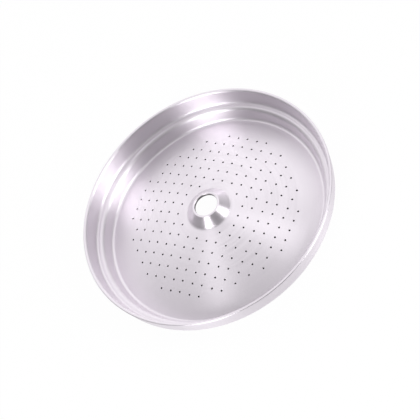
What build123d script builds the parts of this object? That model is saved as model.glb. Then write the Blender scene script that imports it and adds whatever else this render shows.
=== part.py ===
from build123d import *
import os
from math import cos, hypot, radians, sin, sqrt, tan

# Shower sieve of an espresso machine's brewing group, drawn and pierced from one steel sheet.
# The open side faces up, as it does in the machine, and the foot ring under the trough rests on z = 0.

sheet = 0.8                     # thickness of the stainless sheet

# Rim, from the outside in
rim_diameter = 60.8             # outside, at the top of the skirt
skirt_height = 4.5              # from the ledge's outer bend up to the rim
skirt_draft = 10.8              # degrees that the skirt opens towards the rim
ledge_width = 1.38              # along the ledge, from bend to bend
ledge_slope = 6.0               # degrees that the ledge falls outward
wall_height = 3.05              # from the foot ring up to the ledge's inner bend
wall_slope = 62.0               # degrees of the wall between the trough and the ledge
foot_width = 0.6                # flat ring under the trough, which the sieve stands on
bend_flat = 0.4                 # a tight bend is a narrow flat that starts this far from its corner

# Domed floor
dome_radius = 69.0              # of the hollow ball that the floor is a slice of

# Screw collar, pressed up in the middle
screw_hole = 5.5                # clearance hole of an M5 countersunk screw
countersink_angle = 90.0        # cone of the screw's head
land_width = 0.5                # flat ring on top of the collar
collar_foot = 10.2              # diameter where the collar's cone meets the floor
collar_bend = 1.0               # radius inside the bend round the collar's foot

# Jets, pierced straight through the floor
jet = 0.4                       # across the corners of a jet at the bottom of the floor
jet_taper = 0.2                 # degrees that a jet narrows upward on each side
jet_sides = 6
pitch = 2.5                     # from jet to jet, both ways
bare_middle = 1.2               # from the collar's foot to the nearest jets, at least
bare_border = 4.6               # from the farthest jets to the foot ring, at least
stroke_shift = 0.12             # the second piercing stroke lands this far off, both ways

# Bends of the sheet's middle line, as radius and height, from the rim down to the foot ring
half_sheet = sheet / 2
draft = radians(skirt_draft)
ledge_tilt = radians(ledge_slope)
shoulder_level = half_sheet + wall_height
heel_level = shoulder_level - ledge_width * sin(ledge_tilt)
rim_level = heel_level + skirt_height
rim_radius = rim_diameter / 2 - half_sheet / cos(draft)
heel_radius = rim_radius - skirt_height * tan(draft)
shoulder_radius = heel_radius - ledge_width * cos(ledge_tilt)
foot_outside = shoulder_radius - wall_height / tan(radians(wall_slope))
foot_inside = foot_outside - foot_width

# The floor lies between two balls round this level, and comes down to the foot ring in a mitre
dome_level = half_sheet - sqrt(dome_radius**2 - foot_inside**2)
outer_ball = dome_radius + half_sheet
inner_ball = dome_radius - half_sheet
mitre_below = sqrt(inner_ball**2 - dome_level**2)
mitre_above = sqrt(outer_ball**2 - (sheet - dome_level) ** 2)
mitre_lean = (mitre_above - mitre_below) / sheet

# The collar's cone stands on the floor, one sheet outside the cone of the screw's head
cone_lean = tan(radians(countersink_angle / 2))
cone_gap = sheet / cos(radians(countersink_angle / 2))
collar_radius = collar_foot / 2
collar_level = dome_level + sqrt(dome_radius**2 - collar_radius**2)
land_radius = screw_hole / 2 + land_width
land_level = collar_level + (collar_radius + cone_gap / 2 - land_radius) / cone_lean
cone_foot = land_radius + land_level * cone_lean

# Tools that cut right through the sheet end one sheet above its highest edge
tool_level = max(rim_level, land_level) + sheet
mitre_top = mitre_below + mitre_lean * tool_level
on_ground = (Align.CENTER, Align.CENTER, Align.MIN)

# The punch narrows upward, and one stroke of it stands for one jet
with BuildPart() as punch:
    with BuildSketch():
        RegularPolygon(jet / 2, jet_sides)
    with BuildSketch(Plane.XY.offset(tool_level)):
        RegularPolygon(jet / 2 - tool_level * tan(radians(jet_taper)), jet_sides)
    loft(ruled=True)

# The jets stand in straight rows, and every other row is pierced by the second stroke
nearest = collar_radius + bare_middle
farthest = foot_inside - bare_border
rows = range(-int(farthest / pitch), int(farthest / pitch) + 1)
places = []
for column in rows:
    shift = stroke_shift * (column % 2)
    for row in rows:
        if nearest < pitch * hypot(column, row) < farthest:
            places.append((pitch * column + shift, pitch * row - shift))

with BuildPart() as floor:
    with Locations((0, 0, dome_level)):
        Sphere(outer_ball, rotation=(90, 0, 0))
    Cone(cone_foot, land_radius, land_level, align=on_ground)
    with Locations((0, 0, dome_level)):
        Sphere(inner_ball, rotation=(90, 0, 0), mode=Mode.SUBTRACT)
    Cone(mitre_below, mitre_top, tool_level, align=on_ground, mode=Mode.INTERSECT)
    Cone(cone_foot - cone_gap, land_radius - cone_gap, land_level, align=on_ground, mode=Mode.SUBTRACT)
    Hole(screw_hole / 2)
    circles = floor.edges().filter_by(GeomType.CIRCLE)
    below, above = circles.filter_by(lambda edge: abs(edge.radius - collar_radius) < sheet).group_by(Axis.Z)
    fillet(above, collar_bend)
    fillet(below, collar_bend + sheet)

with BuildPart() as sieve:
    with BuildSketch(Plane.XZ) as section:
        with BuildLine() as sheet_line:
            Polyline(
                (foot_inside - sheet, half_sheet),
                (foot_outside, half_sheet),
                (shoulder_radius, shoulder_level),
                (heel_radius, heel_level),
                (rim_radius + sheet * tan(draft), rim_level + sheet),
            )
            chamfer(sheet_line.vertices(), bend_flat)
        trace(line_width=sheet)

        # The rim is trimmed flat
        with Locations((rim_radius, rim_level)):
            Rectangle(2 * sheet, 2 * sheet, align=(Align.CENTER, Align.MIN), mode=Mode.SUBTRACT)
    revolve(axis=Axis.Z)
    Cone(mitre_below, mitre_top, tool_level, align=on_ground, mode=Mode.SUBTRACT)
    add(floor.part)
    with Locations(places):
        add(punch.part, mode=Mode.SUBTRACT)
sieve.part.label = "shower_sieve"
os.makedirs("parts", exist_ok=True)
export_step(sieve.part, "parts/shower_sieve.step")
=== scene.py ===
# %% [markdown]
# This lesson dresses the shower sieve of an espresso machine. It is one thin stainless
# steel sheet, pierced with a field of small jets and drawn into a shallow dish.
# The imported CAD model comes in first, because it fixes the place and the size of
# everything that follows. All lengths in Blender are metres.

import bpy
from math import atan2, ceil, cos, hypot, pi, radians, sin, sqrt, tan
from mathutils import Matrix, Vector
from mathutils.geometry import delaunay_2d_cdt


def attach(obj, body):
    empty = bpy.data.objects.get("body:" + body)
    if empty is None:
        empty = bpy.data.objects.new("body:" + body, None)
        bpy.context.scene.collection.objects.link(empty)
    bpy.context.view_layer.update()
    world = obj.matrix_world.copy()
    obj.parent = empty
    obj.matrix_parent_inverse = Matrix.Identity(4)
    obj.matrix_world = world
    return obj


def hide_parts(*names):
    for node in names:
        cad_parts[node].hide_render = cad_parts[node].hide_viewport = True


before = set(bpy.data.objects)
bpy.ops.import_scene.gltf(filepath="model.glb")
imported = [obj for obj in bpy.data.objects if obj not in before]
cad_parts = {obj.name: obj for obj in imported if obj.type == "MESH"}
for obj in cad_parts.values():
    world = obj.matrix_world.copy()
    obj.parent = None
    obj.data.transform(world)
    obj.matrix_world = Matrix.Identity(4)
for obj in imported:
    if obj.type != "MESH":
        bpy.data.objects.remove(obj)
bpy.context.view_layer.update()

# %% [markdown]
# The sheet has the same thickness everywhere, so one set of sizes describes the whole dish.
# They repeat the CAD sizes, in millimetres. What the detailed mesh adds are the true round
# bends, which a press can't avoid: the sheet would tear over a sharp corner.

# %% Sizes of the sheet
mm = 0.001
sheet = 0.8
rim_diameter = 60.8
skirt_height = 4.5
skirt_draft = radians(10.8)
ledge_width = 1.38
ledge_slope = radians(6.0)
wall_height = 3.05
wall_slope = radians(62.0)
foot_width = 0.6
dome_radius = 69.0
screw_hole = 5.5
land_width = 0.5
collar_foot = 10.2
collar_bend = 1.0

half_sheet = sheet / 2
shoulder_level = half_sheet + wall_height
heel_level = shoulder_level - ledge_width * sin(ledge_slope)
rim_level = heel_level + skirt_height
rim_radius = rim_diameter / 2 - half_sheet / cos(skirt_draft)
heel_radius = rim_radius - skirt_height * tan(skirt_draft)
shoulder_radius = heel_radius - ledge_width * cos(ledge_slope)
foot_outside = shoulder_radius - wall_height / tan(wall_slope)
foot_inside = foot_outside - foot_width
dome_level = half_sheet - sqrt(dome_radius**2 - foot_inside**2)
upper_ball = dome_radius + half_sheet
lower_ball = dome_radius - half_sheet
print("Top of the dome, mm:", round(dome_level + upper_ball, 3))

# %% [markdown]
# A turned or drawn form is easiest to make from its section. The section is a line of
# points in the plane of radius and height, and each corner becomes an arc, as a press tool
# leaves it. Each point also keeps the direction that the surface faces there. Those
# directions go to the mesh as custom normals later, because on bright metal the eye sees
# every facet that plain averaged normals would leave.

# %% Rounded lines of the section
arc_step = radians(7)


def faced(a, b):
    """The direction that a surface from a to b faces, on its left."""
    length = hypot(b[0] - a[0], b[1] - a[1])
    return ((a[1] - b[1]) / length, (b[0] - a[0]) / length)


def rounded(corners):
    """Points with their facing along corners, given as (radius, height, bend)."""
    line = []
    last = len(corners) - 1
    for i, (r, z, bend) in enumerate(corners):
        if i in (0, last):
            side = faced(corners[0], corners[1]) if i == 0 else faced(corners[-2], corners[-1])
            line.append(((r, z), side))
            continue
        before = faced(corners[i - 1], (r, z))
        after = faced((r, z), corners[i + 1])
        turn = atan2(before[0] * after[1] - before[1] * after[0],
                     before[0] * after[0] + before[1] * after[1])
        reach = bend * tan(abs(turn) / 2)
        into = (before[1], -before[0])
        start = (r - reach * into[0], z - reach * into[1])
        sign = 1 if turn > 0 else -1
        middle = (start[0] + sign * bend * before[0], start[1] + sign * bend * before[1])
        steps = max(2, ceil(abs(turn) / arc_step))
        for k in range(steps + 1):
            angle = atan2(before[1], before[0]) + turn * k / steps
            side = (cos(angle), sin(angle))
            spot = (middle[0] - sign * bend * side[0], middle[1] - sign * bend * side[1])
            line.append((spot, side))
    return line


def on_ball(ball, radius):
    """Height and upward facing of the domed floor at a radius."""
    level = dome_level + sqrt(ball**2 - radius**2)
    return level, (radius / ball, sqrt(1 - (radius / ball) ** 2))


print("A square corner becomes", len(rounded([(0, 0, 0), (9, 0, 1), (9, 9, 0)])) - 2, "points")

# %% [markdown]
# The floor's pierced field is a ring between two plain circles. Inside it stands the screw
# collar, a low cone with a flat land round the hole. The same sheet is hollow below, where
# the head of the countersunk screw sits, so the line runs from the floor's underside up
# the hollow cone, through the hole and down the outside. The punch leaves a sharp lower
# edge at the hole, and polishing eases the two upper ones.

# %% Section of the screw collar
field_inside = 6.3
field_outside = 21.7
collar_radius = collar_foot / 2
collar_level = dome_level + sqrt(dome_radius**2 - collar_radius**2)
cone_gap = sheet * sqrt(2)
hole_radius = screw_hole / 2
land_radius = hole_radius + land_width
land_level = collar_level + collar_radius + cone_gap / 2 - land_radius
hole_edge_below = 0.06
hole_edge_above = 0.14
land_edge = 0.18


def cone_meets_floor(ball, cone_foot):
    """Radius and height where a 45 degree cone, this wide on the ground, meets the floor."""
    rise = cone_foot - dome_level
    radius = (rise - sqrt(2 * ball**2 - rise**2)) / 2
    return radius, cone_foot - radius


cone_foot = land_radius + land_level
below_level, below_side = on_ball(lower_ball, field_inside)
above_level, above_side = on_ball(upper_ball, field_inside)
collar_line = rounded([
    (field_inside, below_level, 0),
    (*cone_meets_floor(lower_ball, cone_foot - cone_gap), collar_bend + sheet),
    (hole_radius, cone_foot - cone_gap - hole_radius, hole_edge_below),
    (hole_radius, land_level, hole_edge_above),
    (land_radius, land_level, land_edge),
    (*cone_meets_floor(upper_ball, cone_foot), collar_bend),
    (field_inside, above_level, 0),
])
collar_line[0] = (collar_line[0][0], (-below_side[0], -below_side[1]))
collar_line[-1] = (collar_line[-1][0], above_side)
print("Collar line:", len(collar_line), "points, top at", round(land_level, 3), "mm")

# %% [markdown]
# Outside the field the sheet goes down into the trough, rises over a steep wall to a nearly
# flat ledge, and ends in a flared skirt. A press draws that wall as one steep S between two
# wide bends, so its corners lie a little outside those of the plainer CAD section. The
# sheet's middle line is drawn once and both faces are offset from it by half the sheet,
# which keeps the thickness true in every bend.

# %% Middle line of the trough, ledge and skirt
dome_end = 24.9
dome_steps = 5
trough_corner = (foot_inside + 0.865, half_sheet - 0.3443)
shoulder_corner = (shoulder_radius - 0.245, shoulder_level + 0.026)
trough_bend = 1.08
shoulder_bend = 0.7
heel_bend = 1.0

middle_line = []
for k in range(dome_steps):
    radius = field_outside + k * (dome_end - field_outside) / dome_steps
    level, side = on_ball(dome_radius, radius)
    middle_line.append(((radius, level), side))
middle_line += rounded([
    (dome_end, on_ball(dome_radius, dome_end)[0], 0),
    (*trough_corner, trough_bend),
    (*shoulder_corner, shoulder_bend),
    (heel_radius, heel_level, heel_bend),
    (rim_radius, rim_level, 0),
])[:-1]
print("Middle line:", len(middle_line), "points")

# %% [markdown]
# The rim is trimmed flat. Tumbling rounds its two edges, the inner one more than the outer
# one, and so the lip catches the light as a thin bright line all the way round.

# %% Both faces and the lip of the rim
rim_half = half_sheet / cos(skirt_draft)
lip_inside = 0.5
lip_outside = 0.2

inner_face = []
outer_face = []
for (r, z), (a, b) in middle_line:
    inner_face.append(((r + half_sheet * a, z + half_sheet * b), (a, b)))
    outer_face.insert(0, ((r - half_sheet * a, z - half_sheet * b), (-a, -b)))
lip = rounded([
    (*inner_face[-1][0], 0),
    (rim_radius - rim_half, rim_level, lip_inside),
    (rim_radius + rim_half, rim_level, lip_outside),
    (*outer_face[0][0], 0),
])[1:-1]
rim_line = inner_face + lip + outer_face
print("Rim line:", len(rim_line), "points")

# %% [markdown]
# The jets stand in straight rows, 2.5 mm apart, and two strokes of the punch land a hair
# apart, which the eye catches as columns that pair up. A boolean cut would leave long
# facets round every jet. Instead, the floor is laid out flat as points: two circles at its
# borders, one circle round each jet and a few free points between, on the grid's empty
# places and half way between its rows.

# %% Lay out the jets
pitch = 2.5
jet_radius = 0.2
jet_roll = 0.07
stroke_shift = 0.12
bare_middle = 1.2
bare_border = 4.6
free_gap = 0.6
nearest = collar_radius + bare_middle
farthest = foot_inside - bare_border
reach = int(farthest / pitch)
places = []
free_points = []
for column in range(-reach - 1, reach + 2):
    shift = stroke_shift * (column % 2)
    for row in range(-reach - 1, reach + 2):
        if nearest < pitch * hypot(column, row) < farthest:
            places.append(Vector((pitch * column + shift, pitch * row - shift)))
        elif field_inside + free_gap < pitch * hypot(column, row) < field_outside - free_gap:
            free_points.append(Vector((pitch * column, pitch * row)))
        for step in ((0.5, 0), (0, 0.5), (0.5, 0.5)):
            spot = Vector((pitch * (column + step[0]), pitch * (row + step[1])))
            if field_inside + free_gap < spot.length < field_outside - free_gap:
                free_points.append(spot)
print(len(places), "jets,", len(free_points), "free points")

# %% [markdown]
# All parts of the sheet go into one mesh that is closed without seams. It is built as plain
# lists: points, the direction that each one faces, faces, and the material slot of each
# face. Faces that the punch cut get a slot of their own, whose dark colour is painted shade.

# %% Lists of the mesh
turns = 288
jet_sides = 16
# The second slot holds the punch-cut walls, whose dark colour is painted shade.
satin, sheared_painted_shade = 0, 1
points = []
facing = []
faces = []
slots = []


def put(x, y, z, nx, ny, nz):
    """Adds one point with its facing and gives its number."""
    points.append((x * mm, y * mm, z * mm))
    facing.append((nx, ny, nz))
    return len(points) - 1


def band(first, second, slot):
    """Joins two closed rings of points with quads."""
    count = len(first)
    for k in range(count):
        n = (k + 1) % count
        faces.append((first[k], second[k], second[n], first[n]))
        slots.append(slot)


print("Points round the sieve:", turns, "and round a jet:", jet_sides)

# %% [markdown]
# The collar and the rim are turned forms. Each point of their lines becomes a ring about
# the axis, and bands of quads join the rings. On the collar only the bore was punched, and
# all the rest is drawn sheet.

# %% Turn the collar and the rim


def turned(line, slot_of):
    """Turns a line about the axis and gives its first and last ring."""
    rings = []
    for (r, z), (a, b) in line:
        ring = []
        for k in range(turns):
            c, s = cos(2 * pi * k / turns), sin(2 * pi * k / turns)
            ring.append(put(r * c, r * s, z, a * c, a * s, b))
        rings.append(ring)
    for (first, second), (start, end) in zip(zip(rings, rings[1:]), zip(line, line[1:])):
        band(first, second, slot_of(start, end))
    return rings[0], rings[-1]


def collar_slot(start, end):
    """Sheared, with painted shade, where both points lie in the bore."""
    bore_limit = hole_radius + 0.01
    return sheared_painted_shade if max(start[0][0], end[0][0]) < bore_limit else satin


collar_below, collar_above = turned(collar_line, collar_slot)
rim_above, rim_below = turned(rim_line, lambda start, end: satin)
print("Collar and rim:", len(points), "points")

# %% [markdown]
# Blender's Delaunay function joins the flat layout into neat triangles, with every circle
# kept as an edge. It also fills the middle of the collar and the jets, where there is no
# sheet, so those triangles are left out.

# %% Join the field into triangles
flat = [Vector((points[k][0] / mm, points[k][1] / mm)) for k in collar_above + rim_above]
lines = []
for first in (0, turns):
    lines += [(first + k, first + (k + 1) % turns) for k in range(turns)]
corner_angles = [2 * pi * k / jet_sides for k in range(jet_sides)]
circle = [Vector((cos(angle), sin(angle))) for angle in corner_angles]
first_jet = len(flat)
for place in places:
    first = len(flat)
    flat += [place + (jet_radius + jet_roll) * corner for corner in circle]
    lines += [(first + k, first + (k + 1) % jet_sides) for k in range(jet_sides)]
first_free = len(flat)
flat += free_points
whole_hull = 0
same_point = 1e-6
layout = delaunay_2d_cdt(flat, lines, [], whole_hull, same_point, True)
triangles, sources = layout[2], layout[3]


def in_metal(triangle):
    """True where a triangle of the layout is sheet, not collar or jet."""
    inputs = [sources[k][0] for k in triangle]
    if all(k < turns for k in inputs):
        return False
    jets = {(k - first_jet) // jet_sides if first_jet <= k < first_free else None for k in inputs}
    return len(jets) > 1 or None in jets


metal = [triangle for triangle in triangles if in_metal(triangle)]
print("Field:", len(flat), "points,", len(metal), "triangles of", len(triangles), "are sheet")

# %% [markdown]
# The flat layout is lifted twice, onto the upper and the lower ball of the dome. The two
# faces look away from each other, so the lower one has its corners in reverse order.

# %% Lift the field onto the dome
jet_rings = {}
for ball, sign, rings in ((upper_ball, 1, collar_above + rim_above),
                          (lower_ball, -1, collar_below + rim_below)):
    numbers = list(rings)
    for spot in flat[first_jet:]:
        level, (a, b) = on_ball(ball, spot.length)
        outward = spot.normalized() * a
        numbers.append(put(spot.x, spot.y, level, sign * outward.x, sign * outward.y, sign * b))
    for triangle in metal:
        corners = [numbers[sources[k][0]] for k in triangle]
        faces.append(tuple(corners if sign > 0 else reversed(corners)))
        slots.append(satin)
    jet_rings[sign] = numbers[first_jet:first_free]
print("Sheet so far:", len(points), "points,", len(faces), "faces")

# %% [markdown]
# Each jet is a short tube. The punch drags the sheet's surface a little way into the cut,
# so both ends of the tube roll over, here by way of one ring at three tenths of the roll's
# depth and one at its full depth. From the first of them inward the wall is sheared, and
# it gets the slot whose dark colour is painted shade.

# %% Pierce the jets
sheared_shaded_bands = (1, 2, 3)
for index, place in enumerate(places):
    stack = []
    for sign, ball in ((1, upper_ball), (-1, lower_ball)):
        outer = jet_rings[sign][index * jet_sides:(index + 1) * jet_sides]
        rolled = []
        cut = []
        for corner in circle:
            for ring, depth in ((rolled, 0.3), (cut, 1.0)):
                lean = 1 - depth
                side = sqrt(1 - lean**2)
                spot = place + (jet_radius + jet_roll * (1 - side)) * corner
                level = on_ball(ball, spot.length)[0] - sign * jet_roll * depth
                ring.append(put(spot.x, spot.y, level,
                                -side * corner.x, -side * corner.y, sign * lean))
        stack += [outer, rolled, cut] if sign > 0 else [cut, rolled, outer]
    for number, (first, second) in enumerate(zip(stack, stack[1:])):
        # The bands inside the cut get the slot painted with shade.
        band(second, first, sheared_painted_shade if number in sheared_shaded_bands else satin)
print("Pierced", len(places), "jets")

# %% [markdown]
# The lists become one mesh object. It takes the place of the plain CAD sieve and rides on
# the same body.

# %% Make the sieve
mesh = bpy.data.meshes.new("shower_sieve_sheet")
mesh.from_pydata(points, [], faces)
for polygon, slot in zip(mesh.polygons, slots):
    polygon.material_index = slot
mesh.shade_smooth()
mesh.normals_split_custom_set_from_vertices(facing)
sieve = bpy.data.objects.new("shower_sieve_sheet", mesh)
bpy.context.collection.objects.link(sieve)
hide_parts("shower_sieve")
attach(sieve, "root")
triangle_count = sum(len(polygon.vertices) - 2 for polygon in mesh.polygons)
print("Sieve mesh:", len(points), "points,", triangle_count, "triangles")

# %% [markdown]
# Materials are node trees. Colours are written as the eye knows them, in sRGB hex, and one
# function turns them to the linear values that a shader works with. A second small function
# adds a node, sets its sockets and links it, so a tree reads as a short list.

# %% Helpers for materials


def hex_colour(code):
    """Linear RGBA of an sRGB hex colour."""
    values = [int(code[k:k + 2], 16) / 255 for k in (1, 3, 5)]
    linear = [v / 12.92 if v <= 0.04045 else ((v + 0.055) / 1.055) ** 2.4 for v in values]
    return (*linear, 1.0)


def node(tree, kind, inputs=None, **settings):
    """Adds a node, with its settings, and with inputs that are values or sockets of others."""
    made = tree.nodes.new(kind)
    for name, value in settings.items():
        setattr(made, name, value)
    for name, value in (inputs or {}).items():
        if isinstance(value, bpy.types.NodeSocket):
            tree.links.new(value, made.inputs[name])
        else:
            made.inputs[name].default_value = value
    return made


def blank_material(name):
    """A material with an empty tree."""
    material = bpy.data.materials.new(name)
    material.use_nodes = True
    material.node_tree.nodes.clear()
    return material


white = hex_colour("#FFFFFF")
print("White in linear values:", white)

# %% [markdown]
# The sheet is stainless steel, finished on a spindle: fine abrasive runs round the axis and
# leaves circular hair lines. Each line reflects light across itself and hardly along
# itself, so a lamp shows as bright wedges that point at the centre. The shader does the
# same with anisotropy and a tangent that runs round Z. The real lines are some hundredths
# of a millimetre apart, too fine to show, so the pattern below is drawn as coarse as it
# needs to show, with lines about 0.4 mm apart and finer ones between them. The pattern
# lives in radius, angle and height, where one radian counts as one spacing, and that
# makes every line a long arc. Slow clouds, 9 mm wide, vary the tint as handling does.

# %% Satin stainless steel
line_spacing = 0.4 * mm
cloud_width = 9 * mm
scratch_depth = 0.004 * mm

steel = blank_material("stainless_steel_spindle_satin")
tree = steel.node_tree
surface_place = node(tree, "ShaderNodeTexCoord").outputs["Object"]
parts = node(tree, "ShaderNodeSeparateXYZ", {0: surface_place})
across, along, up = (parts.outputs[axis] for axis in "XYZ")
across_squared = node(tree, "ShaderNodeMath", {0: across, 1: across}, operation="MULTIPLY")
radius_squared = node(tree, "ShaderNodeMath", {0: along, 1: along, 2: across_squared.outputs[0]},
                      operation="MULTIPLY_ADD")
radius = node(tree, "ShaderNodeMath", {0: radius_squared.outputs[0]}, operation="SQRT")
angle = node(tree, "ShaderNodeMath", {0: along, 1: across}, operation="ARCTAN2")
slow_angle = node(tree, "ShaderNodeMath", {0: angle.outputs[0], 1: line_spacing},
                  operation="MULTIPLY")
turned_place = node(tree, "ShaderNodeCombineXYZ", {
    "X": radius.outputs[0], "Y": slow_angle.outputs[0], "Z": up})
hair_lines = node(tree, "ShaderNodeTexNoise", {
    "Vector": turned_place.outputs[0], "Scale": 1 / line_spacing, "Detail": 3.0,
    "Roughness": 0.6})
clouds = node(tree, "ShaderNodeTexNoise", {
    "Vector": surface_place, "Scale": 1 / cloud_width, "Detail": 3.0, "Roughness": 0.5})
tint = node(tree, "ShaderNodeMix", {
    0: clouds.outputs["Fac"], 6: hex_colour("#DFD9E0"), 7: hex_colour("#E7E1E8")},
    data_type="RGBA")
rough = node(tree, "ShaderNodeMapRange", {
    "Value": hair_lines.outputs["Fac"], "From Min": 0.25, "From Max": 0.75, "To Min": 0.34,
    "To Max": 0.46})
bump = node(tree, "ShaderNodeBump", {
    "Height": hair_lines.outputs["Fac"], "Strength": 0.25, "Distance": scratch_depth})
grain = node(tree, "ShaderNodeTangent", direction_type="RADIAL", axis="Z")
shader = node(tree, "ShaderNodeBsdfPrincipled", {
    "Metallic": 1.0, "Anisotropic": 0.8, "Anisotropic Rotation": 0.25,
    "Roughness": rough.outputs["Result"], "Normal": bump.outputs[0],
    "Tangent": grain.outputs[0]})
tree.links.new(tint.outputs[2], shader.inputs["Base Color"])
node(tree, "ShaderNodeOutputMaterial", {"Surface": shader.outputs[0]})
print("Material:", steel.name, len(tree.nodes), "nodes")

# %% [markdown]
# Inside the jets and the screw hole the punch sheared the sheet. A sheared wall is a bright
# smooth band where the punch slid and a dull torn band below it, with fine lines along the
# stroke. At this size the eye sees that the wall is duller than the sheet and lies in
# shade, and its dark colour here is painted shade. The tears are 0.08 mm wide and ten times
# as long.

# %% Sheared steel with painted shade
tear_width = 0.08 * mm
tear_depth = 0.01 * mm
stroke_stretch = (1.0, 1.0, 0.1)

torn_and_shaded = blank_material("stainless_steel_punch_sheared_painted_shade")
tree = torn_and_shaded.node_tree
surface_place = node(tree, "ShaderNodeTexCoord").outputs["Object"]
stretched = node(tree, "ShaderNodeMapping", {"Vector": surface_place, "Scale": stroke_stretch})
tears = node(tree, "ShaderNodeTexNoise", {
    "Vector": stretched.outputs[0], "Scale": 1 / tear_width, "Detail": 2.0})
# The two dark colours are painted shade for the deep jets and bore; the noise between them is the
# torn texture.
tint = node(tree, "ShaderNodeMix", {
    0: tears.outputs["Fac"], 6: hex_colour("#4B494A"), 7: hex_colour("#787576")},
    data_type="RGBA")
bump = node(tree, "ShaderNodeBump", {
    "Height": tears.outputs["Fac"], "Strength": 0.5, "Distance": tear_depth})
shader = node(tree, "ShaderNodeBsdfPrincipled", {
    "Metallic": 1.0, "Roughness": 0.5, "Normal": bump.outputs[0]})
tree.links.new(tint.outputs[2], shader.inputs["Base Color"])
node(tree, "ShaderNodeOutputMaterial", {"Surface": shader.outputs[0]})
mesh.materials.append(steel)
mesh.materials.append(torn_and_shaded)
print("Material:", torn_and_shaded.name, len(tree.nodes), "nodes")

# %% [markdown]
# The sieve lies on a plain white table. Product photographs like this one are lit until the
# table goes white. The floor does that only for rays from the camera, mirrors and glass,
# with most of it a plain glow of strength 1. The rest stays an ordinary painted surface,
# so the sieve still stands in its own soft shadow. The table lies a hair below the foot
# ring, so that the two surfaces never share a place.

# %% Floor
table_half = 3.0
table_gap = 0.02 * mm
glow_share = 0.97

floor_mesh = bpy.data.meshes.new("table")
floor_mesh.from_pydata([(-table_half, -table_half, 0), (table_half, -table_half, 0),
                        (table_half, table_half, 0), (-table_half, table_half, 0)],
                       [], [(0, 1, 2, 3)])
floor = bpy.data.objects.new("table", floor_mesh)
bpy.context.collection.objects.link(floor)
floor.location.z = -table_gap
paint = blank_material("matt_white_paint")
tree = paint.node_tree
rays = node(tree, "ShaderNodeLightPath").outputs
mirrored = node(tree, "ShaderNodeMath", {0: rays["Is Camera Ray"], 1: rays["Is Glossy Ray"]},
                operation="MAXIMUM")
seen = node(tree, "ShaderNodeMath", {0: mirrored.outputs[0], 1: rays["Is Transmission Ray"]},
            operation="MAXIMUM")
share = node(tree, "ShaderNodeMath", {0: seen.outputs[0], 1: glow_share}, operation="MULTIPLY")
matt = node(tree, "ShaderNodeBsdfDiffuse", {"Color": hex_colour("#F4F4F4")})
glow = node(tree, "ShaderNodeEmission", {"Color": white, "Strength": 1.0})
mixed = node(tree, "ShaderNodeMixShader", {
    0: share.outputs[0], 1: matt.outputs[0], 2: glow.outputs[0]})
node(tree, "ShaderNodeOutputMaterial", {"Surface": mixed.outputs[0]})
floor_mesh.materials.append(paint)
print("Floor:", paint.name)

# %% [markdown]
# Two tall soft boxes light the sieve from both sides of the camera. On satin metal what
# counts is where bright things stand: each box gives a pair of wedges that point roughly
# half way between it and the camera, and the gap between the boxes gives the dark wedges.

# %% Soft boxes
box_elevation = 24.0
box_distance = 0.9
box_height = 0.76


def soft_box(name, azimuth, width, power):
    """A tall lamp that faces the sieve."""
    lamp = bpy.data.lights.new(name, "AREA")
    lamp.shape = "RECTANGLE"
    lamp.size = width
    lamp.size_y = box_height
    lamp.energy = power
    holder = bpy.data.objects.new(name, lamp)
    turn = (Matrix.Rotation(radians(azimuth + 90), 4, "Z")
            @ Matrix.Rotation(radians(90 - box_elevation), 4, "X"))
    holder.matrix_world = turn @ Matrix.Translation((0, 0, box_distance))
    bpy.context.collection.objects.link(holder)
    print("Light:", name, power, "W")


soft_box("soft_box_left", azimuth=277.0, width=0.42, power=4.6)
soft_box("soft_box_right", azimuth=15.5, width=0.46, power=4.8)

# %% [markdown]
# The room does the rest. It is white and brightest high behind the sieve, and it falls off
# into a dark opening behind the camera, where nothing is lit. A shallow dish shows the
# bright part on its floor and the dark part on the skirt and the wall that face the camera,
# and that makes its form easy to read. One value grows evenly towards the far side, and a
# second one shuts the opening.

# %% Room
far_azimuth = radians(147.5)
bright_azimuth = radians(122)
bright_rise = radians(48)

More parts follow.
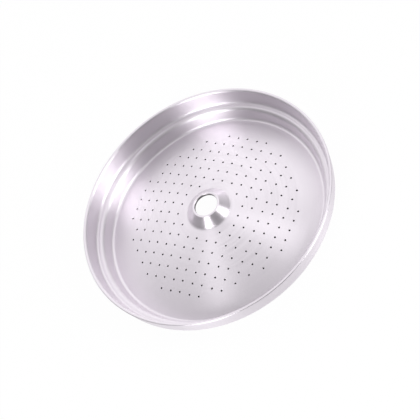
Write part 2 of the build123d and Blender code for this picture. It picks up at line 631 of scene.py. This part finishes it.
room = bpy.data.worlds.new("studio_room")
room.use_nodes = True
tree = room.node_tree
tree.nodes.clear()
direction = node(tree, "ShaderNodeTexCoord").outputs["Generated"]
far_side = (cos(far_azimuth), sin(far_azimuth), 0.0)
towards = node(tree, "ShaderNodeVectorMath", {0: direction, 1: far_side},
               operation="DOT_PRODUCT")
level = node(tree, "ShaderNodeMapRange", {
    "Value": towards.outputs["Value"], "From Min": -1.0, "From Max": 1.0, "To Min": 0.97,
    "To Max": 1.4})
bright_side = (cos(bright_rise) * cos(bright_azimuth), cos(bright_rise) * sin(bright_azimuth),
               sin(bright_rise))
above = node(tree, "ShaderNodeVectorMath", {0: direction, 1: bright_side},
             operation="DOT_PRODUCT")
opening = node(tree, "ShaderNodeMapRange", {
    "Value": above.outputs["Value"], "From Min": 0.42, "From Max": 0.95, "To Min": 0.26,
    "To Max": 1.0}, interpolation_type="SMOOTHSTEP")
strength = node(tree, "ShaderNodeMath", {
    0: level.outputs["Result"], 1: opening.outputs["Result"]}, operation="MULTIPLY")
light = node(tree, "ShaderNodeBackground", {"Color": white, "Strength": strength.outputs[0]})
node(tree, "ShaderNodeOutputWorld", {"Surface": light.outputs[0]})
bpy.context.scene.world = room
print("Room:", room.name, len(tree.nodes), "nodes")

# %% [markdown]
# The camera stands about half a metre away with a long lens and looks down steeply. It is
# rolled to its left, so the dish leans in the picture, as in the photograph. The place
# comes from the jets: they are a ruler, 2.5 mm from one to the next. So it is written in
# steps of the pitch, sideways, upward and back from the top of the dome.

# %% Camera
camera_azimuth = 327.528
camera_elevation = 51.950
camera_roll = -39.394
camera_steps = (0.1033, -0.1397, 217.459)

camera_data = bpy.data.cameras.new("camera")
camera_data.sensor_width = 36.0
camera_data.lens = 206.92
camera_data.clip_start = 0.01
camera = bpy.data.objects.new("camera", camera_data)
turn = (Matrix.Rotation(radians(camera_azimuth + 90), 4, "Z")
        @ Matrix.Rotation(radians(90 - camera_elevation), 4, "X")
        @ Matrix.Rotation(radians(camera_roll), 4, "Z"))
dome_top = Matrix.Translation((0, 0, (dome_level + upper_ball) * mm))
back = Matrix.Translation([count * pitch * mm for count in camera_steps])
camera.matrix_world = dome_top @ turn @ back
bpy.context.collection.objects.link(camera)
bpy.context.scene.camera = camera
bpy.context.scene.view_settings.view_transform = "Standard"
print("Camera at, mm:", [round(v / mm, 1) for v in camera.matrix_world.translation])
